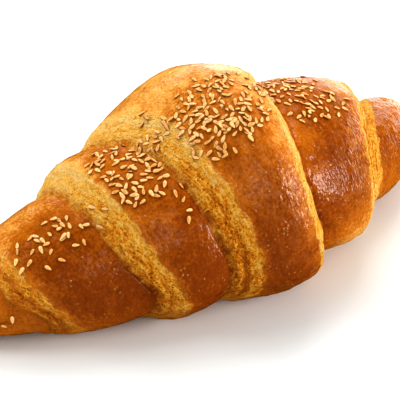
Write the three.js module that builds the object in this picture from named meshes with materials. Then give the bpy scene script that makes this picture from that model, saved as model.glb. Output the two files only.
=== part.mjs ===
// A sesame-topped croissant, lying on its flat base.
//
// Millimetres, +Z up. The long axis lies along X, the front faces -Y and the base rests on Z = 0.
// One node is the baked loaf. Each sesame seed that is a node of its own lies on its crust.

import * as THREE from 'three';

// ---- Driving dimensions ----

const LENGTH = 195;
const WIDTH = 88.5;
const HEIGHT = 66.5;

const MIDDLE_PROUD = 4.75;
const LEFT_BLUNTNESS = 0.31;
const RIGHT_BLUNTNESS = 0.285;
const TAPER_START = 1.53;
const TAPER_FALL = 1.43;
const CURL = 13;
const TIP_LIFT = 4.5;
const BASE_DEPTH = 0.85;
const UNDERSIDE_RELIEF = 0.35;

const SEED_LENGTH = 2.7;
const SEED_WIDTH = 1.5;
const SEED_THICKNESS = 0.9;
const SEED_GAP = 0.3;

const COLUMNS = 60;
const LOBE_ROWS = 6;
const FACE_ROWS = 2;
const TIP_ROWS = 8;

// Under the wraps lies a spindle. Its section is an ellipse that the base cuts off, BASE_DEPTH of
// its half height below its centre. The middle wrap stands MIDDLE_PROUD out of it.
const HALF_LENGTH = LENGTH / 2;
const HALF_WIDTH = WIDTH / 2 - MIDDLE_PROUD;
const HALF_HEIGHT = (HEIGHT - MIDDLE_PROUD) / (1 + BASE_DEPTH);

// ---- The rolled layers ----

// Each wrap of dough ends in a lip with a cut face below it. `toTip` says which tip the face looks
// to and `face` is how far it runs. `lip` is the X of the lip and `step` the height of the face,
// at six places round the section, 60 degrees apart: top, front, lower front, base, lower back,
// back.
const EDGES = [
  { toTip: -1, face: 6, lip: [-77, -73, -63, -71, -80, -81], step: [2.2, 2.2, 2.6, 2.4, 2.2, 2.2] },
  { toTip: -1, face: 6, lip: [-46, -42, -33, -43, -53, -46], step: [4.2, 4.4, 5.4, 4.4, 4, 4.2] },
  { toTip: -1, face: 7, lip: [-21, -16, -11, -19, -29, -28], step: [3.6, 3.8, 3.6, 4, 4, 3.6] },
  { toTip: 1, face: 5, lip: [15, 6.5, 14, 21, 28, 26], step: [6.2, 5, 7.6, 5, 4, 4.4] },
  { toTip: 1, face: 7, lip: [58, 42, 41, 53, 66, 67.5], step: [7, 5, 6.2, 4.4, 4.4, 5] },
  { toTip: 1, face: 4, lip: [87, 77, 74, 80, 86, 88], step: [2.6, 2.6, 2.6, 2.6, 2.6, 2.6] },
];
// The share of a step that stands out of the spindle. The rest of it cuts into the spindle.
const PROUD_SHARE = 0.6;
const LOBE_BULGE = 0.035;
const CENTRE_BULGE = 0.4;
const LOBE_ROUNDING = 1.4;

// A smooth closed curve through values that are evenly spaced round the section.
function aroundSection(values, angle) {
  const count = values.length;
  const turn = THREE.MathUtils.euclideanModulo(angle / (2 * Math.PI), 1) * count;
  const index = Math.floor(turn) % count;
  const at = (shift) => values[(index + shift + count) % count];
  const s = turn - Math.floor(turn);
  const slopeStart = (at(1) - at(-1)) / 2;
  const slopeEnd = (at(2) - at(0)) / 2;
  const rise = at(1) - at(0);
  return at(0) + s * (slopeStart + s * (3 * rise - 2 * slopeStart - slopeEnd
    + s * (slopeStart + slopeEnd - 2 * rise)));
}

// The share of the full section that is left at X: a full waist that tapers to blunt tips.
function taper(x) {
  const t = Math.min(Math.abs(x) / HALF_LENGTH, 1);
  const bluntness = x < 0 ? LEFT_BLUNTNESS : RIGHT_BLUNTNESS;
  const blunt = Math.sqrt(1 - t ** 8);
  const spindle = (1 - t ** TAPER_START) ** TAPER_FALL;
  return bluntness * blunt + (1 - bluntness) * spindle;
}

// The relief is full over the top and fades to shallow seams under the base.
function reliefShare(angle) {
  const down = Math.max(0, -Math.cos(angle));
  return 1 - (1 - UNDERSIDE_RELIEF) * down ** 2;
}

// A point of the crust: `angle` runs from the top over the front, `relief` is its height.
function crustPoint(x, angle, relief) {
  const share = taper(x);
  const t = x / HALF_LENGTH;
  const raise = relief * reliefShare(angle) * Math.min(1, share / RIGHT_BLUNTNESS);
  const halfWidth = HALF_WIDTH * share + raise;
  const halfHeight = HALF_HEIGHT * share + raise;
  const centreY = CURL * t ** 2;
  const centreZ = BASE_DEPTH * HALF_HEIGHT * share + TIP_LIFT * Math.abs(t) ** 3;
  const y = centreY - halfWidth * Math.sin(angle);
  const z = Math.max(0, centreZ + halfHeight * Math.cos(angle));
  return new THREE.Vector3(x, y, z);
}

// ---- Bands of the surface, from the left tip to the right ----

// Each band runs between two closed curves. A face falls straight from its lip to its crease;
// a lobe swells between its two ends. `start` and `end` give X and relief at an angle.
function surfaceBands() {
  const lipOf = (edge) => ({
    x: (angle) => aroundSection(edge.lip, angle),
    relief: (angle) => PROUD_SHARE * aroundSection(edge.step, angle),
  });
  const creaseOf = (edge) => ({
    x: (angle) => aroundSection(edge.lip, angle) + edge.toTip * edge.face,
    relief: (angle) => (PROUD_SHARE - 1) * aroundSection(edge.step, angle),
  });
  const tip = (side) => ({ x: () => side * HALF_LENGTH, relief: () => 0 });

  const bands = [];
  let start = tip(-1);
  for (const edge of EDGES) {
    const faceEnds = edge.toTip < 0 ? [creaseOf(edge), lipOf(edge)] : [lipOf(edge), creaseOf(edge)];
    bands.push({ kind: 'lobe', start, end: faceEnds[0] });
    bands.push({ kind: 'face', start: faceEnds[0], end: faceEnds[1] });
    start = faceEnds[1];
  }
  bands.push({ kind: 'lobe', start, end: tip(1) });
  bands[0].kind = 'leftTip';
  bands.at(-1).kind = 'rightTip';
  return bands;
}

function bandRows(kind) {
  if (kind === 'face') return FACE_ROWS;
  return kind === 'lobe' ? LOBE_ROWS : TIP_ROWS;
}

// Rows crowd towards a tip, where the loaf rounds off.
function rowShare(kind, step) {
  if (kind === 'leftTip') return 1 - Math.cos(step * Math.PI / 2);
  return kind === 'rightTip' ? Math.sin(step * Math.PI / 2) : step;
}

// A lobe stays high from its lip and drops more and more steeply into the crease at its other end.
function roundedShare(band, share, angle) {
  const rise = band.end.relief(angle) - band.start.relief(angle);
  if (band.kind !== 'lobe') return share;
  return rise > 0 ? 1 - (1 - share) ** LOBE_ROUNDING : share ** LOBE_ROUNDING;
}

function bandPoint(band, share, angle) {
  const from = band.start.x(angle);
  const to = band.end.x(angle);
  const x = THREE.MathUtils.lerp(from, to, share);
  const startRelief = band.start.relief(angle);
  const endRelief = band.end.relief(angle);
  let relief = THREE.MathUtils.lerp(startRelief, endRelief, roundedShare(band, share, angle));
  if (band.kind === 'lobe') {
    const isCentre = startRelief > 0 && endRelief > 0;
    const swell = (to - from) * LOBE_BULGE + (isCentre ? CENTRE_BULGE : 0);
    relief += swell * 4 * share * (1 - share);
  }
  return crustPoint(x, angle, relief);
}

// ---- The loaf ----

function loafGeometry(bands) {
  const points = [];
  const rows = [];
  const addPoint = (point) => points.push(point) - 1;

  for (const band of bands) {
    const count = bandRows(band.kind);
    for (let row = 1; row <= count; row += 1) {
      if (band.kind === 'rightTip' && row === count) break;
      const share = rowShare(band.kind, row / count);
      rows.push(Array.from({ length: COLUMNS }, (_, column) => (
        addPoint(bandPoint(band, share, (column / COLUMNS) * 2 * Math.PI)))));
    }
  }
  const leftPole = addPoint(crustPoint(-HALF_LENGTH, 0, 0));
  const rightPole = addPoint(crustPoint(HALF_LENGTH, 0, 0));

  const indices = [];
  for (let column = 0; column < COLUMNS; column += 1) {
    const next = (column + 1) % COLUMNS;
    indices.push(leftPole, rows[0][next], rows[0][column]);
    for (let row = 0; row + 1 < rows.length; row += 1) {
      const here = rows[row];
      const after = rows[row + 1];
      indices.push(here[column], here[next], after[column]);
      indices.push(here[next], after[next], after[column]);
    }
    const last = rows.at(-1);
    indices.push(rightPole, last[column], last[next]);
  }

  const geometry = new THREE.BufferGeometry().setFromPoints(points);
  geometry.setIndex(indices);
  geometry.computeVertexNormals();
  return geometry;
}

function croissantBody(bands) {
  const crust = new THREE.MeshStandardMaterial({ color: 0xb7620f, roughness: 0.35, metalness: 0 });
  const mesh = new THREE.Mesh(loafGeometry(bands), crust);
  mesh.name = 'croissant_body';
  return mesh;
}

// ---- The seeds ----

// A patch of seeds: which lobe it lies on, the share along the lobe and the angle of its middle,
// how far it spreads both ways, and how many of its seeds are nodes.
const SEED_PATCHES = [
  { lobe: 1, share: 0.52, spread: 0.36, angle: 24, fan: 18, count: 8 },
  { lobe: 2, share: 0.50, spread: 0.40, angle: 8, fan: 24, count: 16 },
  { lobe: 3, share: 0.50, spread: 0.40, angle: 8, fan: 22, count: 22 },
  { lobe: 4, share: 0.40, spread: 0.36, angle: 2, fan: 28, count: 13 },
];
const GOLDEN_ANGLE = Math.PI * (3 - Math.sqrt(5));

// A flattened teardrop, long along X, lying on the XY plane with its middle at the origin.
function seedGeometry() {
  const geometry = new THREE.SphereGeometry(0.5, 8, 6);
  geometry.rotateZ(Math.PI / 2);
  const position = geometry.getAttribute('position');
  for (let i = 0; i < position.count; i += 1) {
    const pinch = 1 - 0.7 * position.getX(i);
    position.setY(i, position.getY(i) * pinch);
    position.setZ(i, position.getZ(i) * (0.5 + 0.5 * pinch));
  }
  geometry.scale(SEED_LENGTH, SEED_WIDTH, SEED_THICKNESS);
  geometry.computeVertexNormals();
  return geometry;
}

// Where a seed lies: the crust point and the outward normal there.
function crustFrame(band, share, angle) {
  const nudge = 0.01;
  const point = bandPoint(band, share, angle);
  const along = bandPoint(band, share + nudge, angle).sub(point);
  const round = bandPoint(band, share, angle + nudge).sub(point);
  return { point, along, normal: round.cross(along).normalize() };
}

// Sunflower order fills each oval patch evenly without two seeds meeting.
function seedFrames(bands) {
  const lobes = bands.filter((band) => band.kind !== 'face');
  const frames = [];
  for (const patch of SEED_PATCHES) {
    for (let i = 0; i < patch.count; i += 1) {
      const reach = Math.sqrt((i + 0.5) / patch.count);
      const turn = i * GOLDEN_ANGLE;
      const share = patch.share + patch.spread * reach * Math.cos(turn);
      const degrees = patch.angle + patch.fan * reach * Math.sin(turn);
      const frame = crustFrame(lobes[patch.lobe], share, THREE.MathUtils.degToRad(degrees));
      frames.push({ ...frame, spin: turn * 1.7 });
    }
  }
  return frames;
}

function sesameSeeds(bands) {
  const geometry = seedGeometry();
  return seedFrames(bands).map(({ point, along, normal, spin }, i) => {
    const hull = new THREE.MeshStandardMaterial({ color: 0xe8c48a, roughness: 0.55, metalness: 0 });
    const seed = new THREE.Mesh(geometry, hull);
    seed.name = `sesame_seed_${String(i + 1).padStart(2, '0')}`;
    const heading = along.clone().normalize().applyAxisAngle(normal, spin);
    const sideways = new THREE.Vector3().crossVectors(normal, heading);
    seed.setRotationFromMatrix(new THREE.Matrix4().makeBasis(heading, sideways, normal));
    seed.position.copy(point).addScaledVector(normal, SEED_THICKNESS / 2 + SEED_GAP);
    return seed;
  });
}

// ---- The croissant ----

function croissant() {
  const bands = surfaceBands();
  const body = croissantBody(bands);
  const group = new THREE.Group();
  group.add(body, ...sesameSeeds(bands));

  const box = new THREE.Box3().setFromObject(body);
  const middle = box.getCenter(new THREE.Vector3());
  group.position.set(-middle.x, -middle.y, 0);
  return group;
}

export default croissant();
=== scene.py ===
"""The looks of a glazed, sesame-topped croissant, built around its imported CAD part.

The loaf is one dense mesh on the same wraps as the CAD body, with torn layers, blisters and
pores in its shape. The seeds lie on it. Lengths are in millimetres until a mesh is made.
"""
import math

import bpy
import numpy as np
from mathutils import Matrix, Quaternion, Vector
from mathutils.bvhtree import BVHTree


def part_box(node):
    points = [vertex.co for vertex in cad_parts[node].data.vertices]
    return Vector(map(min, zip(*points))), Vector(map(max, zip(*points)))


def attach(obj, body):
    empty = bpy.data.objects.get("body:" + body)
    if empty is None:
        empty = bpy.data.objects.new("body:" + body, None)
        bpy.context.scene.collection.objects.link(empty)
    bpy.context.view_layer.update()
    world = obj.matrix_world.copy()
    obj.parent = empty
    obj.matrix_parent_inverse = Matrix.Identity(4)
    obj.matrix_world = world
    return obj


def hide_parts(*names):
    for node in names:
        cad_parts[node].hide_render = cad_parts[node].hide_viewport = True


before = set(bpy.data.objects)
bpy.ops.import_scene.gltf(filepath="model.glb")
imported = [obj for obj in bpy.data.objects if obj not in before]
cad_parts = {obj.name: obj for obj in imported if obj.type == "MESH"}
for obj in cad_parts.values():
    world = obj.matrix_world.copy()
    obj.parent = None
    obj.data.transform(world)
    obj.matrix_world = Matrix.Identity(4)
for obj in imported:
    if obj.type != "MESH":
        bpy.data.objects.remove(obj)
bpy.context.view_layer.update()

MM = 0.001
LOW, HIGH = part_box("croissant_body")
LENGTH, WIDTH, HEIGHT = (HIGH - LOW) / MM


# ---- Camera, light and floor ----

# The photo's view, fitted to the loaf's outline and to the edges of its wraps.
CAMERA_TURN = math.radians(35.8)
CAMERA_RISE = math.radians(36.4)
CAMERA_ROLL = math.radians(0.6)
CAMERA_DISTANCE = 2.574 * LENGTH
CAMERA_LENS = 139
CAMERA_TARGET = Vector((-0.020 * LENGTH, 0.050 * WIDTH, 0.306 * HEIGHT))

SKY_COLOUR = (1.0, 0.97, 0.92, 1)
SKY_STRENGTH = 0.50
FLOOR_COLOUR = (0.86, 0.93, 0.97, 1)
FLOOR_REACH = 8 * LENGTH
WARM = (1, 0.97, 0.94)
WARMER = (1, 0.93, 0.88)
PEACH = (1, 0.90, 0.86)
APRICOT = (1, 0.89, 0.82)
ORANGE = (1, 0.86, 0.76)


def towards(turn, rise):
    """A unit vector `turn` round from the front towards the left tip, `rise` above the table."""
    level = math.cos(rise)
    return Vector((-math.sin(turn) * level, -math.cos(turn) * level, math.sin(rise)))


def add_camera():
    back = towards(CAMERA_TURN, CAMERA_RISE)
    camera = bpy.data.objects.new("camera", bpy.data.cameras.new("camera"))
    camera.data.lens = CAMERA_LENS
    camera.location = (CAMERA_TARGET + back * CAMERA_DISTANCE) * MM
    camera.rotation_mode = "QUATERNION"
    camera.rotation_quaternion = Quaternion(back, CAMERA_ROLL) @ back.to_track_quat("Z", "Y")
    bpy.context.scene.collection.objects.link(camera)
    bpy.context.scene.camera = camera


def add_light(name, turn, rise, distance, size, power, colour, shows=True, shines=True):
    """A soft box that looks at the croissant, from `turn` and `rise` degrees.

    `shows` says if the glaze reflects it, and `shines` if it lights what isn't glossy.
    """
    lamp = bpy.data.lights.new(name, "AREA")
    lamp.shape = "RECTANGLE"
    lamp.size, lamp.size_y = size[0] * MM, size[1] * MM
    lamp.energy = power
    lamp.color = colour
    back = towards(math.radians(turn), math.radians(rise))
    light = bpy.data.objects.new(name, lamp)
    light.location = back * distance * MM
    light.rotation_mode = "QUATERNION"
    light.rotation_quaternion = back.to_track_quat("Z", "Y")
    light.visible_glossy = shows
    light.visible_diffuse = shines
    bpy.context.scene.collection.objects.link(light)


def add_studio():
    world = bpy.data.worlds.new("studio")
    world.use_nodes = True
    sky = world.node_tree.nodes["Background"]
    sky.inputs["Color"].default_value = SKY_COLOUR
    sky.inputs["Strength"].default_value = SKY_STRENGTH
    world.cycles_visibility.glossy = False
    bpy.context.scene.world = world
    bpy.context.scene.view_settings.view_transform = "Standard"
    bpy.context.scene.view_settings.look = "Medium High Contrast"


def add_lights():
    """Light from behind and above, as in the photo, and soft boxes for the glaze to reflect.

    Reflections don't see the floor. So the sheen, which lies below it, shows only in the glaze.
    """
    add_light("key", -144, 62, distance=650, size=(380, 360), power=1.9, colour=WARM)
    add_light("sheen", -124, -8, distance=900, size=(700, 260), power=1.5, colour=PEACH)
    add_light("wall", -144, 20, distance=900, size=(900, 300), power=2.2, colour=WARMER)
    add_light("rim", 120, 42, distance=700, size=(260, 260), power=1.4, colour=WARM)
    add_light("side", -44, 18, distance=700, size=(220, 340), power=3.2, colour=APRICOT)
    add_light("streak", 21, 44, distance=700, size=(110, 260), power=0.28, colour=WARM)
    add_light("glint", -50, 24, distance=800, size=(460, 420), power=1.4, colour=ORANGE,
              shines=False)
    add_light("fill", 50, 30, distance=900, size=(600, 600), power=0.3, colour=WARM, shows=False)


def add_floor():
    reach = FLOOR_REACH * MM
    mesh = bpy.data.meshes.new("floor")
    corners = [(-reach, -reach, 0), (reach, -reach, 0), (reach, reach, 0), (-reach, reach, 0)]
    mesh.from_pydata(corners, [], [(0, 1, 2, 3)])
    floor = bpy.data.objects.new("floor", mesh)
    bpy.context.scene.collection.objects.link(floor)
    material = bpy.data.materials.new("floor")
    material.use_nodes = True
    shader = material.node_tree.nodes["Principled BSDF"]
    shader.inputs["Base Color"].default_value = FLOOR_COLOUR
    shader.inputs["Roughness"].default_value = 0.7
    mesh.materials.append(material)
    floor.visible_glossy = False


# ---- Noise ----

# Large odd numbers that scramble a corner's place and a seed into its bits.
CORNER_SCRAMBLE = np.array([374761393, 668265263, 1440662683])
SEED_SCRAMBLE = 974634777
BIT_SCRAMBLE = 1274126177


def lattice_value(corner, seed):
    """A repeatable random number from -1 to 1 at each whole-number corner."""
    mixed = (corner * CORNER_SCRAMBLE).sum(-1) + seed * SEED_SCRAMBLE
    mixed = (mixed ^ (mixed >> 13)) * BIT_SCRAMBLE
    mixed = (mixed ^ (mixed >> 16)) & 0xFFFF
    return mixed / 0x7FFF - 1


def noise(points, lump, seed):
    """Smooth noise from -1 to 1 with lumps about `lump` millimetres across."""
    cell = points / lump
    corner = np.floor(cell).astype(np.int64)
    part = cell - corner
    ease = part * part * (3 - 2 * part)
    total = 0
    for offset in np.ndindex(2, 2, 2):
        weight = np.prod(np.where(offset, ease, 1 - ease), axis=-1)
        total = total + weight * lattice_value(corner + offset, seed)
    return total


def ripple(angle, low, high, seed):
    """A wavy line round the section, about -1 to 1, of `low` or more and under `high` waves."""
    random = np.random.default_rng(seed)
    total = 0
    for waves in range(low, high):
        phase = random.uniform(0, math.tau)
        total = total + np.sin(waves * angle + phase) * random.uniform(0.5, 1)
    return total / math.sqrt(high - low)


def smooth_step(value, start, end):
    """0 before the start and 1 after the end, with a smooth rise between them."""
    share = np.clip((value - start) / (end - start), 0, 1)
    return share * share * (3 - 2 * share)


def bell(distance, width):
    """1 where there is no distance, fading smoothly away over about the width."""
    return np.exp(-(distance / width) ** 2)


# ---- The wraps, as in the CAD body ----

MIDDLE_PROUD = 4.75
BASE_DEPTH = 0.85
LEFT_BLUNTNESS = 0.31
RIGHT_BLUNTNESS = 0.285
TAPER_START = 1.53
TAPER_FALL = 1.43
CURL = 13
TIP_LIFT = 4.5
UNDERSIDE_RELIEF = 0.35
LOBE_BULGE = 0.035
CENTRE_BULGE = 0.4
LOBE_ROUNDING = 1.4
PROUD_SHARE = 0.6
HALF_LENGTH = LENGTH / 2
HALF_WIDTH = WIDTH / 2 - MIDDLE_PROUD
HALF_HEIGHT = (HEIGHT - MIDDLE_PROUD) / (1 + BASE_DEPTH)

# The six edges where one wrap ends on the next. `to_tip` is the tip its face looks to, `face` the
# face's width, `beyond` how far the pale layers pass its crease, and `pale` how bare of crust they
# are. The rest has a value at six places round the section (top, front, lower front, base, lower
# back, back): how far the layers pass `over` the lip, the lip's X, the face's height (`step`) and
# its groove's depth.
EDGES = [
    {"to_tip": -1, "face": 6.0, "beyond": 0, "pale": 0.66,
     "over": [1.0, 1.0, 1.0, 1.0, 1.0, 1.0],
     "lip": [-77, -73, -63, -71, -80, -81],
     "step": [2.2, 2.2, 2.6, 2.4, 2.2, 2.2],
     "groove": [0.3, 0.6, 0.6, 0.3, 0.3, 0.3]},
    {"to_tip": -1, "face": 6.0, "beyond": 0, "pale": 1.1,
     "over": [1.0, 0.3, 0.3, 0.3, 0.3, 1.8],
     "lip": [-46, -42, -33, -43, -53, -46],
     "step": [4.2, 4.4, 5.4, 4.4, 4, 4.2],
     "groove": [0.1, 0.2, 0.1, 0.1, 0.2, 0.2]},
    {"to_tip": -1, "face": 7.0, "beyond": 0, "pale": 1.0,
     "over": [2.0, 0.8, 0.8, 0.8, 0.8, 3.6],
     "lip": [-21, -16, -11, -19, -29, -28],
     "step": [3.6, 3.8, 3.6, 4, 4, 3.6],
     "groove": [0.1, 0.5, 1.0, 0.4, 0.3, 0.2]},
    {"to_tip": 1, "face": 5.0, "beyond": 0, "pale": 1.3,
     "over": [1.8, 1.8, 1.8, 1.8, 1.8, 1.8],
     "lip": [15, 6.5, 14, 21, 28, 26],
     "step": [6.2, 5, 7.6, 5, 4, 4.4],
     "groove": [0.1, 0.1, 0.1, 0.1, 0.1, 0.1]},
    {"to_tip": 1, "face": 7.0, "beyond": 5.0, "pale": 1.2,
     "over": [2.0, 2.0, 2.0, 2.0, 2.0, 2.0],
     "lip": [58, 42, 41, 53, 66, 67.5],
     "step": [7, 5, 6.2, 4.4, 4.4, 5],
     "groove": [0.9, 1.0, 0.9, 0.5, 0.5, 0.7]},
    {"to_tip": 1, "face": 4.0, "beyond": 0, "pale": 0.6,
     "over": [0.3, 0.3, 0.3, 0.3, 0.3, 0.3],
     "lip": [87, 77, 74, 80, 86, 88],
     "step": [2.6, 2.6, 2.6, 2.6, 2.6, 2.6],
     "groove": [0.3, 0.3, 0.3, 0.3, 0.3, 0.3]},
]
LIP_RAGGEDNESS = 0.45
LIP_WAVES = (6, 26)
CREASE_WAVES = (4, 18)


def around_section(values, angle):
    """A smooth closed curve through values that are evenly spaced round the section."""
    values = np.array(values, float)
    count = len(values)
    turn = np.mod(angle / math.tau, 1) * count
    index = np.floor(turn).astype(int) % count
    s = turn - np.floor(turn)
    before, here, after, later = (values[(index + shift) % count] for shift in (-1, 0, 1, 2))
    slope_start = (after - before) / 2
    slope_end = (later - here) / 2
    rise = after - here
    bend = 3 * rise - 2 * slope_start - slope_end
    return here + s * (slope_start + s * (bend + s * (slope_start + slope_end - 2 * rise)))


def taper(x):
    """How thick the loaf is at an X, as a share of its middle."""
    t = np.clip(np.abs(x) / HALF_LENGTH, 0, 1)
    bluntness = np.where(x < 0, LEFT_BLUNTNESS, RIGHT_BLUNTNESS)
    blunt = np.sqrt(1 - t ** 8)
    return bluntness * blunt + (1 - bluntness) * (1 - t ** TAPER_START) ** TAPER_FALL


def crust_points(x, angle, relief):
    """Points at an X and an angle round the section, `relief` proud of the plain loaf."""
    share = taper(x)
    t = x / HALF_LENGTH
    fade = 1 - (1 - UNDERSIDE_RELIEF) * np.maximum(0, -np.cos(angle)) ** 2
    lift = relief * fade * np.minimum(1, share / RIGHT_BLUNTNESS)
    y = CURL * t ** 2 - (HALF_WIDTH * share + lift) * np.sin(angle)
    centre_z = BASE_DEPTH * HALF_HEIGHT * share + TIP_LIFT * np.abs(t) ** 3
    z = centre_z + (HALF_HEIGHT * share + lift) * np.cos(angle)
    return np.stack([x, y, z], axis=-1)


# ---- Bands between the lips and creases, from the left tip to the right ----

# The grid's rows in each lobe and each face, and its columns round the loaf. Columns crowd towards
# the top, and rows towards the ends of a lobe.
LOBE_ROWS = [30, 46, 40, 64, 60, 40, 26]
FACE_ROWS = 12
COLUMNS = 264
TOP_CROWDING = 0.4
END_CROWDING = 0.5

# How a face's fall is shared out, and where across it its groove runs.
CRISP_SHARE = 0.16
SLOPE_SHARE = 0.64
TUCK_SHARE = 0.20
GROOVE_PLACE = 0.48
GROOVE_REACH = 0.15

# Stands for a distance when there is no lip or crease to measure from.
FAR = 99.0


def surface_bands():
    """Lobes and faces in order, each with its start and end."""
    def end_of(edge, is_lip, waves, seed):
        """An edge's lip or its crease: its X and how proud it stands, all the way round."""
        reach = 0 if is_lip else edge["to_tip"] * edge["face"]
        proud = PROUD_SHARE if is_lip else PROUD_SHARE - 1

        def x(angle):
            ragged = LIP_RAGGEDNESS * ripple(angle, *waves, seed)
            return around_section(edge["lip"], angle) + reach + ragged

        def relief(angle):
            return proud * around_section(edge["step"], angle)

        return {"x": x, "relief": relief, "is_lip": is_lip, "edge": edge}

    def tip(side):
        def x(angle):
            return np.full_like(angle, side * HALF_LENGTH)

        return {"x": x, "relief": np.zeros_like, "edge": None}

    bands = []
    start = tip(-1)
    for number, edge in enumerate(EDGES):
        crease = end_of(edge, False, CREASE_WAVES, 40 + number)
        lip = end_of(edge, True, LIP_WAVES, 20 + number)
        ends = (crease, lip) if edge["to_tip"] < 0 else (lip, crease)
        bands.append({"kind": "lobe", "start": start, "end": ends[0]})
        bands.append({"kind": "face", "start": ends[0], "end": ends[1], "edge": edge})
        start = ends[1]
    bands.append({"kind": "lobe", "start": start, "end": tip(1)})
    bands[0]["kind"] = "left tip"
    bands[-1]["kind"] = "right tip"
    return bands


def row_shares(kind, count):
    """Rows crowd towards lips and creases, and towards a tip, where the loaf rounds off."""
    step = np.arange(1, count + 1) / count
    if kind == "left tip":
        return 1 - np.cos(step * math.pi / 2)
    if kind == "right tip":
        return np.sin(step * math.pi / 2)
    if kind == "face":
        return step
    return step - END_CROWDING * np.sin(math.tau * step) / math.tau


def lobe_relief(band, share, width, angle):
    """A tip runs straight out to nothing. A lobe rises roundly to its lip, with a slight swell.

    Only the centre lobe has a lip at both ends, and it swells more.
    """
    start = band["start"]["relief"](angle)
    end = band["end"]["relief"](angle)
    if band["kind"] != "lobe":
        return start + (end - start) * share
    rising = 1 - (1 - share) ** LOBE_ROUNDING
    falling = share ** LOBE_ROUNDING
    rounded = np.where(end > start, rising, falling)
    is_centre = (start > 0) & (end > 0)
    swell = width * LOBE_BULGE + CENTRE_BULGE * is_centre
    return start + (end - start) * rounded + swell * 4 * share * (1 - share)


def face_relief(below_lip, step):
    """A crisp drop under the crust, a slope of torn layers, and a tuck into the crease."""
    crisp = CRISP_SHARE * smooth_step(below_lip, 0, 0.1)
    slope = SLOPE_SHARE * below_lip ** 1.1
    tuck = TUCK_SHARE * smooth_step(below_lip, 0.88, 1)
    return step * (PROUD_SHARE - crisp - slope - tuck)


# What is known of each point, in millimetres but for `pale` and `groove`: how far it is `inside`
# the torn layers, how `pale` they are there, how far `across` the face it lies, how strong its
# `groove` is there, and how far away its lip and its crease are.

def face_info(band, from_lip, width, angle):
    """What is known of each point of a face."""
    edge = band["edge"]
    strength = around_section(edge["groove"], angle)
    over = around_section(edge["over"], angle)
    lip_away = from_lip * width
    crease_away = (1 - from_lip) * width
    return {
        "inside": np.minimum(lip_away + over, crease_away + edge["beyond"]),
        "pale": np.full_like(lip_away, edge["pale"]),
        "across": lip_away,
        "groove": strength * bell(from_lip - GROOVE_PLACE, GROOVE_REACH),
        "lip_away": lip_away,
        "crease_away": crease_away,
    }


def lobe_info(band, share, width, angle):
    """What is known of each point of a lobe. The nearer of its two edges counts."""
    blank = np.zeros_like(width * share)
    info = {
        "inside": blank - FAR,
        "pale": blank,
        "across": blank,
        "groove": blank,
        "lip_away": blank + FAR,
        "crease_away": blank + FAR,
    }
    for end, away in ((band["start"], share * width), (band["end"], (1 - share) * width)):
        edge = end["edge"]
        if edge is None:
            continue
        away_key = "lip_away" if end["is_lip"] else "crease_away"
        info[away_key] = np.minimum(info[away_key], away)
        reach = around_section(edge["over"], angle) if end["is_lip"] else edge["beyond"]
        inside = reach - away
        nearer = inside > info["inside"]
        info["inside"] = np.where(nearer, inside, info["inside"])
        info["pale"] = np.where(nearer, edge["pale"], info["pale"])
        across = -away if end["is_lip"] else edge["face"] + away
        info["across"] = np.where(nearer, across, info["across"])
    return info


def band_grid(band, shares, angle):
    """A band's rows of base points, and what the detail and the material need to know of them."""
    angle = angle[None, :]
    share = shares[:, None]
    start = band["start"]["x"](angle)
    width = band["end"]["x"](angle) - start
    x = start + width * share
    if band["kind"] == "face":
        from_lip = (share if band["start"]["is_lip"] else 1 - share) + 0 * x
        relief = face_relief(from_lip, around_section(band["edge"]["step"], angle))
        info = face_info(band, from_lip, width, angle)
    else:
        relief = lobe_relief(band, share, width, angle)
        info = lobe_info(band, share, width, angle)
    return crust_points(x, angle + 0 * x, relief), info


# ---- The loaf's surface detail ----

BLISTERS = 900
BLISTER_RADII = (0.7, 1.6)
BLISTER_HEIGHTS = (0.10, 0.26)
BLISTER_STRAY = 0.5

# How dark the crust is, from 0 to 1, at some X along the loaf and at the six places round it:
# partly how dark it baked and partly painted shade, mostly on the front.
BAKE_AND_SHADE_X = [-92, -62, -36, -6, 10, 30, 66, 88]
BAKE_AND_SHADE = [
    [0.24, 0.28, 0.32, 0.5, 0.5, 0.26],
    [0.40, 0.74, 0.66, 0.5, 0.6, 0.20],
    [0.36, 0.66, 0.78, 0.5, 0.6, 0.28],
    [0.22, 0.66, 0.80, 0.5, 0.6, 0.14],
    [0.24, 0.52, 0.74, 0.5, 0.6, 0.16],
    [0.42, 0.82, 0.12, 0.4, 0.6, 0.30],
    [0.36, 0.60, 0.36, 0.5, 0.5, 0.36],
    [0.44, 0.68, 0.72, 0.5, 0.5, 0.42],
]

# The foot: how roundly it turns under, how far it may fill that corner, and where its flat is cut.
CORNER_RADIUS = 5.0
CORNER_FILL = 0.6
FLAT_FOOT = 0.02

# Towards a tip the detail fades once the loaf is thinner than this share of its middle.
SMOOTH_TIP = 0.3


def grid_normals(points):
    """The way out of the loaf at each point of its grid."""
    along = np.gradient(points, axis=0)
    across = np.roll(points, -1, axis=1) - np.roll(points, 1, axis=1)
    normal = np.cross(across, along)
    return normal / (np.linalg.norm(normal, axis=-1, keepdims=True) + 1e-9)


def blisters(points, on_crust):
    """Small round bubbles that the egg wash raised, more of them towards the right."""
    random = np.random.default_rng(11)
    flat = points.reshape(-1, 3)
    weight = on_crust.ravel() * (0.3 + smooth_step(flat[:, 0], -40, 50))
    picks = random.choice(len(flat), BLISTERS, p=weight / weight.sum())
    height = np.zeros(len(flat))
    order = np.argsort(flat[:, 0])
    ordered_x = flat[order, 0]
    for pick in picks:
        radius = random.uniform(*BLISTER_RADII)
        centre = flat[pick] + random.uniform(-BLISTER_STRAY, BLISTER_STRAY, 3)
        first, last = np.searchsorted(ordered_x, [centre[0] - 2 * radius, centre[0] + 2 * radius])
        near = order[first:last]
        away = np.linalg.norm(flat[near] - centre, axis=1)
        height[near] += random.uniform(*BLISTER_HEIGHTS) * bell(away, radius)
    return height.reshape(on_crust.shape)


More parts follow.
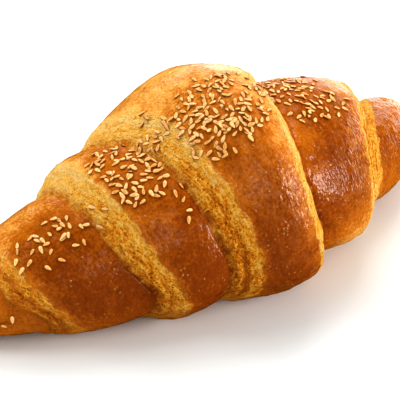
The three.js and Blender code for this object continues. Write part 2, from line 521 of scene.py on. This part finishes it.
def crust_detail(points, info):
    """Lumps of four sizes, blisters, a bead along each lip and a cut along each crease."""
    on_crust = smooth_step(-info["inside"], -0.3, 0.8)
    height = 0.75 * noise(points, 27, 1)
    height += on_crust * (0.20 * noise(points, 9, 2) + 0.10 * noise(points, 4, 3))
    height += on_crust * 0.10 * noise(points, 1.8, 4)
    height += on_crust * blisters(points, on_crust)
    lip_bead = bell(info["lip_away"] - 0.5, 1.4) * on_crust
    height += 0.35 * lip_bead * (1 + 0.5 * noise(points, 5, 5))
    height -= 0.8 * bell(info["crease_away"], 0.9)
    return height


def face_detail(points, info):
    """Layers torn open along the face, with a groove between them and pits that follow them."""
    in_face = smooth_step(info["inside"], -0.2, 0.5)
    layers = info["across"] / 3.0 + 0.35 * noise(points, 16, 6) + 0.12 * noise(points, 5, 10)
    ridge = 0.5 - np.abs(np.mod(layers, 1) - 0.5) * 2
    height = in_face * 0.30 * ridge * (0.6 + 0.6 * noise(points, 11, 7))
    height += in_face * 0.26 * noise(points, 3.2, 8)
    height += in_face * 0.16 * noise(points, 1.3, 9)
    height -= 0.9 * info["groove"] * (0.75 + 0.5 * noise(points, 4, 12))
    return height


def settle(points):
    """Rests the loaf on Z = 0 with a rounded foot, and centres it as the CAD body is."""
    z = points[..., 2]
    rounded = 0.5 * (z + np.sqrt(z * z + CORNER_RADIUS ** 2)) - CORNER_FILL
    filled = np.minimum(rounded, np.maximum(z, 0) + CORNER_FILL)
    points[..., 2] = np.maximum(FLAT_FOOT, filled)
    low, high = points.min((0, 1)), points.max((0, 1))
    points[..., :2] -= (low + high)[:2] / 2
    points[..., 2] -= low[2]
    return points


def loaf_surface():
    """The whole surface as a grid of rows, and what the crust's material needs to know."""
    turn = np.arange(COLUMNS) / COLUMNS * math.tau - math.pi
    angle = turn - TOP_CROWDING * np.sin(turn)
    grids = []
    lobe_rows = iter(LOBE_ROWS)
    for band in surface_bands():
        count = FACE_ROWS if band["kind"] == "face" else next(lobe_rows)
        shares = row_shares(band["kind"], count)
        if band["kind"] == "right tip":
            shares = shares[:-1]
        grids.append(band_grid(band, shares, angle))
    points = np.concatenate([grid[0] for grid in grids])
    info = {key: np.concatenate([grid[1][key] for grid in grids]) for key in grids[0][1]}
    normal = grid_normals(points)
    height = crust_detail(points, info) + face_detail(points, info)
    share = taper(points[..., 0])
    height *= np.minimum(1, share / SMOOTH_TIP)
    info["along"] = angle * (HALF_WIDTH * share)
    info["bake_and_shade"] = bake_and_shade_tone(points, angle, info)
    info["worn_and_sheen"] = worn_and_sheen_share(points, angle, info)
    info["wrinkles"] = wrinkle_share(points, angle, info["worn_and_sheen"])
    points = settle(points + normal * height[..., None])
    return points, info


def bake_and_shade_tone(points, angle, info):
    """How dark the crust baked, with painted shade: as its table has it, mottled, and paler beside
    a lip.

    The pale strip is wider right of the middle and at the back, where it partly paints the sheen
    and the light from behind.
    """
    x = points[..., 0]
    rounds = [around_section(row, angle) + 0 * x for row in BAKE_AND_SHADE]
    tone = rounds[0]
    for left, right, row in zip(BAKE_AND_SHADE_X, BAKE_AND_SHADE_X[1:], rounds[1:]):
        tone = tone + (row - tone) * smooth_step(x, left, right)
    mottle = 0.06 * noise(points, 18, 31) + 0.04 * noise(points, 7, 32)
    # Paler beside the lips: partly paler crust, partly painted sheen right of the middle and
    # painted light at the back.
    backward = smooth_step(-angle, -0.5, 0.6)
    fade = 2.4 + 4.0 * smooth_step(x, -10, 4)
    pale_and_sheen_beside_lip = 0.2 * bell(info["lip_away"], fade) + 0.12 * backward * bell(info["lip_away"], 8)
    return tone + mottle - pale_and_sheen_beside_lip


def worn_and_sheen_share(points, angle, info):
    """How far the egg wash is worn off in streaks beside the two big lips on the right, where the
    paler streaks also paint the glaze's sheen.
    """
    x = points[..., 0]
    rightward = smooth_step(x, -14, 0) * smooth_step(x, 56, 44)
    upward = 1 - 0.75 * smooth_step(np.abs(angle), 0.9, 1.6)
    return rightward * upward * bell(info["lip_away"], 11) * (0.75 + 0.35 * noise(points, 9, 63))


def wrinkle_share(points, angle, worn_and_sheen):
    """How wrinkled the skin is: more on the right half, low down and along the worn streaks, which
    also paint sheen.
    """
    rightward = smooth_step(points[..., 0] + 10 * noise(points, 15, 61), -20, 40)
    low_down = smooth_step(np.abs(angle), 0.6, 1.6)
    share = 0.30 + 0.35 * rightward + 0.25 * low_down + 0.5 * worn_and_sheen
    return np.clip(share + 0.25 * noise(points, 8, 62), 0.15, 1.1)


# ---- Mesh making ----

# What the crust's material reads from the surface.
MATERIAL_KEYS = ("inside", "pale", "across", "groove", "along", "bake_and_shade", "worn_and_sheen", "wrinkles")
POLE_PROUD = 0.15
MAP_MARGIN = 0.01


def new_mesh_object(name, vertices, faces):
    mesh = bpy.data.meshes.new(name)
    mesh.from_pydata(vertices, [], faces)
    mesh.shade_smooth()
    thing = bpy.data.objects.new(name, mesh)
    bpy.context.scene.collection.objects.link(thing)
    return thing


def set_attribute(thing, name, values):
    attribute = thing.data.attributes.new(name, "FLOAT", "POINT")
    attribute.data.foreach_set("value", np.asarray(values, np.float32))


def grid_faces(rows, columns):
    """The four-sided faces of a grid of rows that each close on themselves."""
    index = np.arange(rows * columns).reshape(rows, columns)
    after = np.roll(index, -1, axis=1)
    corners = [index[:-1], after[:-1], after[1:], index[1:]]
    return np.stack(corners, axis=-1).reshape(-1, 4).tolist()


def add_loaf():
    """The loaf as one closed mesh: the grid, and a pole with a fan of triangles at each tip."""
    points, info = loaf_surface()
    rows, columns = points.shape[:2]
    first_pole = points[0].mean(axis=0) - [POLE_PROUD, 0, 0]
    last_pole = points[-1].mean(axis=0) + [POLE_PROUD, 0, 0]
    vertices = np.vstack([points.reshape(-1, 3), first_pole, last_pole]) * MM
    pole = rows * columns
    last_row = pole - columns
    around = [(step, (step + 1) % columns) for step in range(columns)]
    first_cap = [(pole, after, here) for here, after in around]
    last_cap = [(pole + 1, last_row + here, last_row + after) for here, after in around]
    faces = grid_faces(rows, columns) + first_cap + last_cap
    loaf = new_mesh_object("croissant_crust", vertices.tolist(), faces)
    for key in MATERIAL_KEYS:
        flat = info[key].ravel()
        set_attribute(loaf, key, np.concatenate([flat, [flat[0], flat[-1]]]))
    add_loaf_map(loaf, rows, columns)
    loaf.data.materials.append(crust_material())
    return loaf, points


def add_loaf_map(loaf, rows, columns):
    """One texture map for the whole loaf: along it and round it, cut once under the base."""
    layer = loaf.data.uv_layers.new(name="OFBake")
    count = len(loaf.data.loops)
    corner = np.zeros(count, np.int32)
    loaf.data.loops.foreach_get("vertex_index", corner)
    row = np.minimum(corner // columns, rows - 1).astype(float)
    column = (corner % columns).astype(float)
    pole = rows * columns
    row = np.where(corner == pole, -1, np.where(corner == pole + 1, rows, row))

    # The face that closes a ring ends at the last column, where the map is cut.
    starts = np.zeros(len(loaf.data.polygons), np.int32)
    totals = np.zeros(len(loaf.data.polygons), np.int32)
    loaf.data.polygons.foreach_get("loop_start", starts)
    loaf.data.polygons.foreach_get("loop_total", totals)
    face = np.repeat(np.arange(len(starts)), totals)
    highest = np.maximum.reduceat(column, starts)[face]
    wraps = (highest == columns - 1) & (column == 0)
    column = np.where(wraps, columns, column)

    # A pole is mapped once for each of its triangles, half way between the triangle's columns.
    lowest = np.minimum.reduceat(np.where(corner >= pole, columns, column), starts)[face]
    column = np.where(corner >= pole, lowest + 0.5, column)
    extent = 1 - 2 * MAP_MARGIN
    u = MAP_MARGIN + extent * (row + 1) / (rows + 1)
    v = MAP_MARGIN + extent * column / columns
    layer.data.foreach_set("uv", np.stack([u, v], axis=-1).astype(np.float32).ravel())


# ---- Materials ----

class Nodes:
    """A short way to write a shader tree. Inputs are numbers, colours or other nodes' outputs."""

    def __init__(self, name):
        self.material = bpy.data.materials.new(name)
        self.material.use_nodes = True
        self.tree = self.material.node_tree
        self.shader = self.tree.nodes["Principled BSDF"]

    def add(self, kind, inputs=None, **settings):
        node = self.tree.nodes.new(kind)
        for key, value in settings.items():
            setattr(node, key, value)
        for key, value in (inputs or {}).items():
            self.put(node.inputs[key], value)
        return node

    def put(self, socket, value):
        if isinstance(value, bpy.types.NodeSocket):
            self.tree.links.new(value, socket)
        else:
            socket.default_value = value

    def attribute(self, name):
        return self.add("ShaderNodeAttribute", attribute_name=name).outputs["Fac"]

    def position(self, stretch=(1, 1, 1)):
        place = self.add("ShaderNodeTexCoord").outputs["Object"]
        return self.add("ShaderNodeMapping", {"Vector": place, "Scale": stretch}).outputs["Vector"]

    def noise(self, lump, detail, roughness=0.55, vector=None):
        """Noise from 0 to 1 with lumps about `lump` millimetres across."""
        inputs = {"Vector": vector or self.position(), "Scale": 1 / (lump * MM),
                  "Detail": detail, "Roughness": roughness}
        return self.add("ShaderNodeTexNoise", inputs).outputs["Fac"]

    def math(self, operation, a, b, clamp=False):
        node = self.add("ShaderNodeMath", operation=operation, use_clamp=clamp)
        self.put(node.inputs[0], a)
        self.put(node.inputs[1], b)
        return node.outputs[0]

    def plus(self, a, b, clamp=False):
        return self.math("ADD", a, b, clamp)

    def minus(self, a, b):
        return self.math("SUBTRACT", a, b)

    def times(self, a, b):
        return self.math("MULTIPLY", a, b)

    def larger(self, a, b):
        return self.math("MAXIMUM", a, b)

    def varied(self, lump, detail, roughness, low, high):
        """Noise spread over low..high. Its own values lie mostly between 0.3 and 0.7."""
        return self.span(self.noise(lump, detail, roughness), 0.3, 0.7, low, high)

    def total(self, start, *terms):
        """The start plus every term, which is a value and how much of it counts."""
        for value, weight in terms:
            start = self.plus(start, self.times(value, weight))
        return start

    def span(self, value, low, high, out_low=0.0, out_high=1.0):
        """Maps low..high smoothly on to out_low..out_high."""
        inputs = {"Value": value, "From Min": low, "From Max": high,
                  "To Min": out_low, "To Max": out_high}
        return self.add("ShaderNodeMapRange", inputs, interpolation_type="SMOOTHSTEP").outputs[0]

    def ramp(self, value, stops):
        node = self.add("ShaderNodeValToRGB", {"Fac": value})
        elements = node.color_ramp.elements
        while len(elements) < len(stops):
            elements.new(1.0)
        for element, (place, colour) in zip(elements, stops):
            element.position = place
            element.color = (*colour, 1)
        return node.outputs["Color"]

    def blend(self, share, a, b):
        """A mix of two colours, by the kinds of the node's own sockets."""
        node = self.add("ShaderNodeMix", data_type="RGBA")
        sockets = [socket for socket in node.inputs if socket.type == "RGBA"]
        self.put(node.inputs["Factor"], share)
        self.put(sockets[0], a)
        self.put(sockets[1], b)
        return next(socket for socket in node.outputs if socket.type == "RGBA")

    def between(self, share, a, b):
        """A mix of two numbers."""
        node = self.add("ShaderNodeMix", data_type="FLOAT")
        self.put(node.inputs["Factor"], share)
        self.put(node.inputs["A"], a)
        self.put(node.inputs["B"], b)
        return node.outputs["Result"]

    def bump(self, height, depth, under=None):
        inputs = {"Height": height, "Distance": depth * MM, "Strength": 1.0}
        if under is not None:
            inputs["Normal"] = under
        return self.add("ShaderNodeBump", inputs).outputs["Normal"]


# Glazed crust, from the least baked to the most, through which the painted shade also runs.
GOLD = (0.95, 0.48, 0.105)
AMBER = (0.49, 0.140, 0.006)
CHESTNUT = (0.235, 0.049, 0.0018)
UMBER = (0.16, 0.028, 0.0012)

# Torn layers, from the pores, whose dark is partly painted shade, to the palest fibres, whose cream
# is partly a painted highlight.
SCORCH_AND_SHADE = (0.36, 0.080, 0.003)
TOAST = (0.48, 0.145, 0.010)
HONEY = (0.78, 0.25, 0.010)
STRAW = (0.98, 0.49, 0.055)
CREAM_AND_SHEEN = (1.0, 0.67, 0.235)

# Bubbles in the egg wash, whose pale freckles also paint glints, and where it is worn off, whose
# paler streaks also paint sheen.
FRECKLE_AND_GLINT = (0.90, 0.46, 0.09)
WORN_AND_SHEEN = (0.80, 0.34, 0.09)

# Sesame, from the toasted rim and its painted shade to the crown and its painted highlight.
HUSK_AND_SHADE = (0.16, 0.036, 0.002)
TOASTED_AND_SHADED_SESAME = (0.46, 0.150, 0.014)
TAN_SESAME = (0.78, 0.38, 0.085)
PALE_AND_LIT_SESAME = (1.0, 0.70, 0.32)

# Stretches a noise along the loaf's section, so that its lumps run round the loaf.
ROUND_SECTION = (1, 0.55, 0.55)

# How deep each bump looks, how far apart the bubbles are, and from what height down to what height
# the foot turns to toast, which on the pale layers is painted shade. All in millimetres.
PIT_DEPTH = 0.45
WRINKLE_DEPTH = 0.65
BUBBLE_DEPTH = 0.42
GRAIN_DEPTH = 0.10
SEED_GRAIN_DEPTH = 0.05
BUBBLE_SPACING = 1.7
FOOT_TOP = 16
FOOT_LOW = 2


def egg_wash_bubbles(nodes):
    """Where the egg wash raised tiny bubbles, from 0 to 1: in patches, most where it wrinkled."""
    inputs = {"Vector": nodes.position(), "Scale": 1 / (BUBBLE_SPACING * MM)}
    cells = nodes.add("ShaderNodeTexVoronoi", inputs)
    bubble = nodes.span(cells.outputs["Distance"], 0.36, 0.0)
    crowding = nodes.times(nodes.attribute("wrinkles"), 0.16)
    where = nodes.span(nodes.plus(nodes.noise(5, 3), crowding), 0.55, 0.74)
    return nodes.times(bubble, where)


def crust_colour(nodes, bubbles):
    """Glazed crust, from gold to umber as it baked and as painted shade darkens it, mottled,
    grained, streaked and freckled. Beside the seeds it is darker as painted shade, the worn streaks
    also paint sheen, and the freckles also paint glints.
    """
    mottle = nodes.varied(4.5, 4, 0.6, -0.08, 0.08)
    grain = nodes.varied(0.9, 4, 0.65, -0.13, 0.10)
    # The crust's tone: partly how dark it baked and partly painted shade.
    bake_and_shade = nodes.plus(nodes.attribute("bake_and_shade"), nodes.plus(mottle, grain))
    # Painted shade beside the seeds, partly glaze that pooled and browned there.
    bake_and_shade = nodes.plus(bake_and_shade, nodes.times(nodes.attribute("seed_shade_and_pooled_glaze"), 0.14))
    crust = nodes.ramp(bake_and_shade, [(0.0, GOLD), (0.34, AMBER), (0.7, CHESTNUT), (1.0, UMBER)])
    streaks = nodes.span(nodes.noise(1.5, 3, 0.6, nodes.position(ROUND_SECTION)), 0.42, 0.62)
    # Painted sheen: the paler worn streaks also stand in for the glaze's shine beside the right
    # lips.
    worn_and_sheen = nodes.times(nodes.attribute("worn_and_sheen"), 0.65)
    crust = nodes.blend(nodes.times(streaks, worn_and_sheen), crust, (*WORN_AND_SHEEN, 1))
    # Painted glints: the pale freckles on the bubbles also stand in for the light they catch.
    return nodes.blend(nodes.times(bubbles, 0.42), crust, (*FRECKLE_AND_GLINT, 1))


def crumb_colour(nodes):
    """Torn layers: pale fibres along the face, with small pores between them. The pores and the
    groove are darkened as painted shade, the layers darken with the crust's tone, which is partly
    painted shade, and the palest fibres are partly a painted highlight.

    Returns the colour and the height of its relief.
    """
    parts = {"X": nodes.attribute("along"), "Y": nodes.attribute("across")}
    place = nodes.add("ShaderNodeCombineXYZ", parts).outputs["Vector"]

    def stretched(x, y):
        inputs = {"Vector": place, "Scale": (x, y, 1)}
        return nodes.add("ShaderNodeMapping", inputs).outputs["Vector"]

    def fibres(x, y, detail):
        inputs = {"Vector": stretched(x, y), "Scale": 1, "Detail": detail, "Roughness": 0.6}
        return nodes.add("ShaderNodeTexNoise", inputs).outputs["Fac"]

    strands = nodes.span(fibres(0.14, 0.7, 4), 0.3, 0.7)
    threads = nodes.span(fibres(0.5, 1.6, 2), 0.34, 0.66)
    grain = nodes.varied(0.65, 2, 0.6, 0.0, 1.0)
    pale = nodes.attribute("pale")
    bake_and_shade = nodes.attribute("bake_and_shade")
    holes = nodes.add("ShaderNodeTexVoronoi", {"Vector": stretched(0.65, 1.1), "Scale": 1.0})
    crowd = nodes.span(nodes.noise(4, 3), 0.38, 0.68, 0.12, 0.38)
    crowd = nodes.minus(crowd, nodes.span(pale, 1.0, 1.3, 0.0, 0.25))
    crowd = nodes.plus(crowd, nodes.span(bake_and_shade, 0.2, 0.7, -0.16, 0.0))
    pores = nodes.span(nodes.minus(crowd, holes.outputs["Distance"]), -0.12, 0.12)
    # Painted shade: darker in the pores and the groove, and with the crust's tone, itself partly
    # painted shade.
    hollow_shade = nodes.larger(pores, nodes.attribute("groove"))
    tone = nodes.total(-0.07, (strands, 0.38), (threads, 0.28), (grain, 0.36),
                       (pale, 0.4), (bake_and_shade, -0.6), (hollow_shade, -0.38))
    stops = [(0.0, SCORCH_AND_SHADE), (0.14, TOAST), (0.38, HONEY), (0.62, STRAW), (1.0, CREAM_AND_SHEEN)]
    relief = nodes.minus(nodes.plus(threads, grain), nodes.times(pores, 0.8))
    return nodes.ramp(tone, stops), relief


def bare_share(nodes):
    """How bare of crust the surface is, from 0 to 1, with a ragged and patchy edge."""
    ragged = nodes.varied(3.2, 4, 0.55, -0.6, 0.6)
    torn = nodes.span(nodes.plus(nodes.attribute("inside"), ragged), -0.7, 0.7)
    patchy = nodes.span(nodes.noise(4, 4, 0.65), 0.35, 0.65, -0.24, 0.24)
    return nodes.times(torn, nodes.plus(nodes.attribute("pale"), patchy, clamp=True))


def crust_relief(nodes, bare, crumb_relief, bubbles):
    """Pits in the bare layers, then wrinkles, bubbles and a fine grain over everything."""
    skin = nodes.bump(nodes.times(crumb_relief, bare), PIT_DEPTH)
    wrinkles = nodes.noise(1.1, 1, 0.5, nodes.position(ROUND_SECTION))
    wrinkles = nodes.times(wrinkles, nodes.attribute("wrinkles"))
    skin = nodes.bump(wrinkles, WRINKLE_DEPTH, skin)
    skin = nodes.bump(bubbles, BUBBLE_DEPTH, skin)
    return nodes.bump(nodes.noise(0.9, 1, 0.5), GRAIN_DEPTH, skin)


def crust_material():
    """Glazed crust with the torn layers where it is bare. The foot is a dull toast, which pales the
    crust low down and darkens the pale layers there as painted shade.
    """
    nodes = Nodes("crust")
    bare = bare_share(nodes)
    bubbles = egg_wash_bubbles(nodes)
    crumb, crumb_relief = crumb_colour(nodes)
    colour = nodes.blend(bare, crust_colour(nodes, bubbles), crumb)
    height = nodes.add("ShaderNodeSeparateXYZ", {"Vector": nodes.position()}).outputs["Z"]
    # Painted shade low down: the toast darkens the pale layers near the table, and pales the
    # crust's foot.
    foot_toast_and_shade = nodes.span(height, FOOT_TOP * MM, FOOT_LOW * MM, 0.0, 0.60)
    nodes.put(nodes.shader.inputs["Base Color"], nodes.blend(foot_toast_and_shade, colour, (*TOAST, 1)))

    gloss = nodes.varied(5, 4, 0.55, 0.18, 0.30)
    nodes.put(nodes.shader.inputs["Roughness"], nodes.between(bare, gloss, 0.6))
    nodes.shader.inputs["Specular IOR Level"].default_value = 0.02
    matt = nodes.larger(bare, nodes.times(nodes.attribute("seed_shade_and_pooled_glaze"), 1.4))
    nodes.put(nodes.shader.inputs["Coat Weight"], nodes.between(matt, 0.50, 0.0))
    nodes.shader.inputs["Coat Roughness"].default_value = 0.17
    nodes.shader.inputs["Subsurface Weight"].default_value = 0.05
    nodes.shader.inputs["Subsurface Radius"].default_value = (1.0, 0.4, 0.1)
    nodes.shader.inputs["Subsurface Scale"].default_value = 2 * MM

    skin = crust_relief(nodes, bare, crumb_relief, bubbles)
    nodes.put(nodes.shader.inputs["Normal"], skin)
    nodes.put(nodes.shader.inputs["Coat Normal"], skin)
    return nodes.material


def seed_material():
    """Sesame, toasted brown at its rim and in its middle, darker at its sides and underside as
    painted shade and paler on its crown as a painted highlight. Each seed has a tone of its own.
    """
    nodes = Nodes("sesame")
    grain = nodes.varied(0.5, 3, 0.55, -0.12, 0.12)
    # Painted light: the crown is paler and the sides and underside darker, as light and shade fall
    # on a seed.
    value = nodes.total(grain, (nodes.attribute("tone"), 0.3), (nodes.attribute("crown_light_and_toast"), 0.75))
    stops = [(0.0, HUSK_AND_SHADE), (0.35, TOASTED_AND_SHADED_SESAME), (0.65, TAN_SESAME), (1.0, PALE_AND_LIT_SESAME)]
    nodes.put(nodes.shader.inputs["Base Color"], nodes.ramp(value, stops))
    nodes.shader.inputs["Roughness"].default_value = 0.34
    nodes.shader.inputs["Specular IOR Level"].default_value = 0.4
    nodes.shader.inputs["Subsurface Weight"].default_value = 0.08
    nodes.shader.inputs["Subsurface Scale"].default_value = 1 * MM
    nodes.put(nodes.shader.inputs["Normal"], nodes.bump(nodes.noise(0.35, 2), SEED_GRAIN_DEPTH))
    return nodes.material


# ---- Seeds ----

# A seed's size, the range of scales on the loaf, how much its thin end tapers, how high it is above
# and below its rim, how pale its two ends are, and how many corners and rings it is made of.
SEED_LENGTH = 2.7
SEED_WIDTH = 1.5
SEED_THICKNESS = 0.9
SEED_SIZES = (0.78, 1.0)
SEED_TAPER = 0.7
SEED_TOP = 0.75
SEED_UNDERSIDE = 0.9
SEED_END_TONE = 0.3
SEED_ROUND = 12
SEED_RINGS = 9

# How seeds lie: none nearer than the spacing, and those nearer than the clearance count as crowded
# and are tilted and lifted. They gather in clumps of about the clump size.
SEED_SPACING = 1.45
SEED_CLEARANCE = 2.2
SEED_SINK = 0.20
SEED_TILT = 0.12
CROWDED_TILT = 0.16
CROWDED_LIFT = 0.4
CLUMP_SIZE = 6.5
CLUMPING = 0.6
CLUMP_EASE = 0.1

# The height of the loaf's heart, which seeds are dropped towards, as a share of its thickness.
HEART_HEIGHT = 0.4

# How far the crust beside a seed is darkened as painted shade and made less glossy.
SEED_SHADE_REACH = 1.1 * SEED_LENGTH

# Each patch: its first CAD seed and how many it has, and the ovals of the loaf where its other
# seeds fall. An oval is its middle and reach in millimetres along X, its middle and fan in degrees
# from the top towards the front, and how many seeds it gets.
PATCHES = [
    {"name": "sesame_left", "first": 1, "count": 8,
     "ovals": [(-62, 15, 23, 21, 26), (-82, 2, 76, 6, 2)]},
    {"name": "sesame_inner_left", "first": 9, "count": 16,
     "ovals": [(-36, 10, 8, 30, 68), (-24, 6, -5, 17, 16), (-30, 5, 44, 16, 5)]},
    {"name": "sesame_centre", "first": 25, "count": 22,
     "ovals": [(-4, 17, 12, 19, 84), (-10, 10, 25, 11, 42), (6, 8, 6, 16, 14)]},
    {"name": "sesame_right", "first": 47, "count": 13,
     "ovals": [(31, 19, 3, 30, 42), (28, 13, 9, 24, 36)]},
]


def seed_shape():
    """A flattened teardrop: its points, its faces and how far up its crown each point is, which the
    material paints lit on the crown and shaded at the sides and underside, with a toasted middle.
    """
    points = [(0.5, 0.0, 0.0)]
    crown_light_and_toast = [SEED_END_TONE]
    for ring in range(1, SEED_RINGS):
        t = ring / SEED_RINGS * math.pi
        along = math.cos(t) / 2
        radius = math.sin(t) / 2 * (1 - SEED_TAPER * along)
        for step in range(SEED_ROUND):
            turn = step / SEED_ROUND * math.tau
            side = math.cos(turn)
            up = math.sin(turn)
            depth = SEED_TOP if up > 0 else SEED_UNDERSIDE
            points.append((along, radius * side, radius * up * depth))
            toasted_middle = 0.4 * bell(side, 0.35) * bell(along, 0.3)
            crown_light_and_toast.append(smooth_step(up, 0.35, 0.92) * (1 - toasted_middle))
    points.append((-0.5, 0.0, 0.0))
    crown_light_and_toast.append(SEED_END_TONE)
    faces = []
    for step in range(SEED_ROUND):
        after = (step + 1) % SEED_ROUND
        faces.append((0, 1 + after, 1 + step))
        for ring in range(SEED_RINGS - 2):
            base = 1 + ring * SEED_ROUND
            next_base = base + SEED_ROUND
            faces.append((base + step, base + after, next_base + after, next_base + step))
        last = 1 + (SEED_RINGS - 2) * SEED_ROUND
        faces.append((len(points) - 1, last + step, last + after))
    scale = np.array([SEED_LENGTH, SEED_WIDTH, SEED_THICKNESS])
    return np.array(points) * scale, faces, crown_light_and_toast


def cad_seed(number):
    """A CAD seed's name, its middle and the way from there to its far end."""
    name = f"sesame_seed_{number:02d}"
    low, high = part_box(name)
    middle = (low + high) / 2
    corners = [vertex.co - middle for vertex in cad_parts[name].data.vertices]
    return name, middle, max(corners, key=lambda corner: corner.length)


def scattered_seed(oval, random, surface):
    """A random place in an oval, found by aiming at the loaf's heart from outside."""
    middle_x, reach_x, middle_angle, fan, _ = oval
    reach = math.sqrt(random.uniform(0, 1))
    turn = random.uniform(0, math.tau)
    x = (middle_x + reach_x * reach * math.cos(turn)) * MM
    angle = math.radians(middle_angle + fan * reach * math.sin(turn))
    outward = Vector((0, -math.sin(angle), math.cos(angle)))
    curl = CURL * (x / MM / HALF_LENGTH) ** 2 * MM
    heart = Vector((x, curl, HEIGHT * HEART_HEIGHT * taper(x / MM) * MM))
    start = heart + outward * HEIGHT * MM
    return surface.ray_cast(start, -outward)[0]


def seed_places(patch, random, surface):
    """The CAD seeds' places, then more in loose clumps. Each has a middle, heading and crowding."""
    names = []
    places = []
    for number in range(patch["first"], patch["first"] + patch["count"]):
        name, middle, heading = cad_seed(number)
        names.append(name)
        places.append((middle, heading, 0.0))
    for oval in patch["ovals"]:
        goal = len(places) + oval[-1]
        while len(places) < goal:
            spot = scattered_seed(oval, random, surface)
            heading = Vector(random.normal(size=3))
            chance = random.uniform(-1, 1)
            threshold = CLUMPING * chance - CLUMP_EASE
            if not spot or noise(np.array(spot) / MM, CLUMP_SIZE, 51) < threshold:
                continue
            nearest = min((spot - place[0]).length for place in places) / MM
            if nearest > SEED_SPACING:
                crowding = 1 - smooth_step(nearest, SEED_SPACING, SEED_CLEARANCE)
                places.append((spot, heading, crowding))
    return names, places


def add_seed_patch(patch, surface, shape, material):
    """One mesh of a patch's seeds, each set on the surface. Returns where they are."""
    points, faces, crown_light_and_toast = shape
    random = np.random.default_rng(patch["first"])
    names, places = seed_places(patch, random, surface)
    vertices, all_faces, tones, crowns = [], [], [], []
    for number, (middle, heading, crowding) in enumerate(places):
        spot, normal, _, _ = surface.find_nearest(middle)
        tilt = Vector(random.normal(size=3)) * (SEED_TILT + CROWDED_TILT * crowding)
        up = (normal + tilt).normalized()
        forward = (heading - up * heading.dot(up)).normalized()
        axes = np.array([forward, up.cross(forward), up])
        lift = SEED_THICKNESS / 2 - SEED_SINK + CROWDED_LIFT * crowding
        origin = np.array(spot) / MM + np.array(up) * lift
        size = random.uniform(*SEED_SIZES)
        vertices.append(points * size @ axes + origin)
        base = number * len(points)
        all_faces += [tuple(base + corner for corner in face) for face in faces]
        tones += [random.uniform(0, 1)] * len(points)
        crowns += crown_light_and_toast
    group = new_mesh_object(patch["name"], (np.vstack(vertices) * MM).tolist(), all_faces)
    set_attribute(group, "tone", tones)
    set_attribute(group, "crown_light_and_toast", crowns)
    group.data.materials.append(material)
    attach(group, "root")
    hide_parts(*names)
    return [np.array(middle) / MM for middle, _, _ in places]


def add_seeds(points):
    """Every patch of seeds, on the loaf's grid of points. Returns where the seeds are."""
    faces = grid_faces(*points.shape[:2])
    surface = BVHTree.FromPolygons((points.reshape(-1, 3) * MM).tolist(), faces)
    shape = seed_shape()
    material = seed_material()
    spots = []
    for patch in PATCHES:
        spots += add_seed_patch(patch, surface, shape, material)
    return spots


def shade_and_glaze_beside_seeds(loaf, points, spots):
    """Marks the crust beside the seeds with painted shade, partly glaze that pooled and browned
    there, and makes it less glossy.
    """
    flat = points.reshape(-1, 3)
    seed_shade_and_pooled_glaze = np.zeros(len(flat))
    for spot in spots:
        away = np.linalg.norm(flat - spot, axis=1)
        seed_shade_and_pooled_glaze = np.maximum(seed_shade_and_pooled_glaze, bell(away, SEED_SHADE_REACH))
    set_attribute(loaf, "seed_shade_and_pooled_glaze", np.concatenate([seed_shade_and_pooled_glaze, [0, 0]]))


# ---- The scene ----

add_camera()
add_studio()
add_lights()
add_floor()
loaf, loaf_points = add_loaf()
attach(loaf, "root")
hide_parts("croissant_body")
shade_and_glaze_beside_seeds(loaf, loaf_points, add_seeds(loaf_points))
